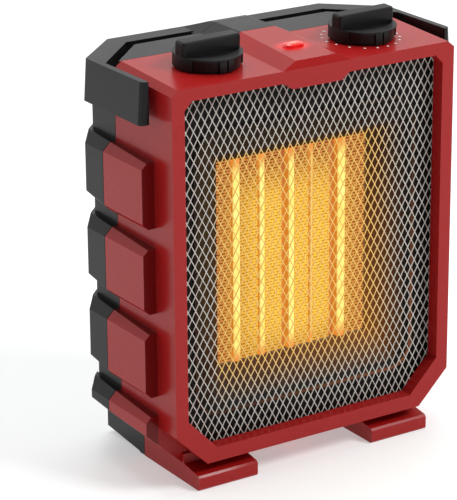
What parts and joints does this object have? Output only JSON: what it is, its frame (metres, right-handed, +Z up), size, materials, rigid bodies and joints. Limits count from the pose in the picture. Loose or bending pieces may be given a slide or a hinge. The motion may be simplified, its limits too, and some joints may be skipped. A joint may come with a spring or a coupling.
{
  "type": "ceramic space heater",
  "caption": "Upright ceramic fan heater with a two-part moulded housing, wrap-round carry rail, expanded-metal outlet guard, glowing heating core and two rotary controls.",
  "frame": {"origin": "on the floor under the middle of the heater, at the centre of its bounding box", "axes": "+X to the right seen from the front, +Y towards the back, +Z up"},
  "size_m": [0.2112, 0.1096, 0.2564],
  "materials": {
    "red_shell": "satin moulded red with fine grain",
    "black_shell": "fine-textured charcoal black",
    "black_rail": "fine-textured charcoal black",
    "guard_steel": "pale enamelled expanded steel",
    "dark_sheet": "heat-proof black",
    "core_insulator": "unglazed steatite",
    "hot_bar": "glowing",
    "hot_fin": "glowing",
    "hot_spacer": "glowing",
    "inner_plastic": "plain moulded",
    "plain_steel": "zinc plated",
    "motor_can": "plated can",
    "zinc_sheet": "galvanised",
    "black_grille": "plain moulded",
    "knob_plastic": "satin black",
    "switch_case": "moulded",
    "lens_red": "lit translucent red",
    "board_green": "solder mask",
    "block_cream": "moulded",
    "plunger_nylon": "natural nylon",
    "gland_rubber": "moulded",
    "screw_black": "blackened steel"
  },
  "bodies": {
    "heater": {"front_shell": "red_shell", "rear_shell": "black_shell", "carry_rail": "black_rail", "front_guard": "guard_steel", "heat_funnel": "dark_sheet", "core_frame": "core_insulator", "core_bars": "hot_bar", "core_fins": "hot_fin", "core_spacers": "hot_spacer", "fan_shroud": "inner_plastic", "fan_motor": "motor_can", "motor_bracket": "zinc_sheet", "intake_grille": "black_grille", "mode_switch": "switch_case", "thermostat": "core_insulator", "indicator_lens": "lens_red", "indicator_board": "board_green", "thermal_cutoff": "core_insulator", "terminal_block": "block_cream", "tip_switch": "switch_case", "cord_gland": "gland_rubber", "shell_screws": "screw_black", "funnel_screws": "plain_steel", "rail_screws": "plain_steel", "fan_screws": "plain_steel"},
    "mode_control": {"mode_knob": "knob_plastic", "mode_spindle": "plain_steel"},
    "thermostat_control": {"thermostat_knob": "knob_plastic", "thermostat_spindle": "plain_steel"},
    "fan": {"impeller": "inner_plastic", "motor_shaft": "plain_steel"},
    "tip_button": {"tip_plunger": "plunger_nylon"}
  },
  "joints": [
    {"name": "mode_turn", "type": "hinge", "parent": "heater", "child": "mode_control", "pos_m": [-0.0524, -0.02344, 0.23991], "axis": [0, -0.048, 0.9988], "range_deg": [0, 135]},
    {"name": "thermostat_turn", "type": "hinge", "parent": "heater", "child": "thermostat_control", "pos_m": [0.0524, -0.02344, 0.23991], "axis": [0, -0.048, 0.9988], "range_deg": [-135, 135]},
    {"name": "fan_spin", "type": "hinge", "parent": "heater", "child": "fan", "pos_m": [0, 0.0002, 0.1235], "axis": [0, 1, 0], "continuous": true},
    {"name": "tip_travel", "type": "slide", "parent": "heater", "child": "tip_button", "axis": [0, 0, -1], "range_m": [0, 0.004], "stiffness_N_per_m": 40, "springref_m": 0.005}
  ]
}
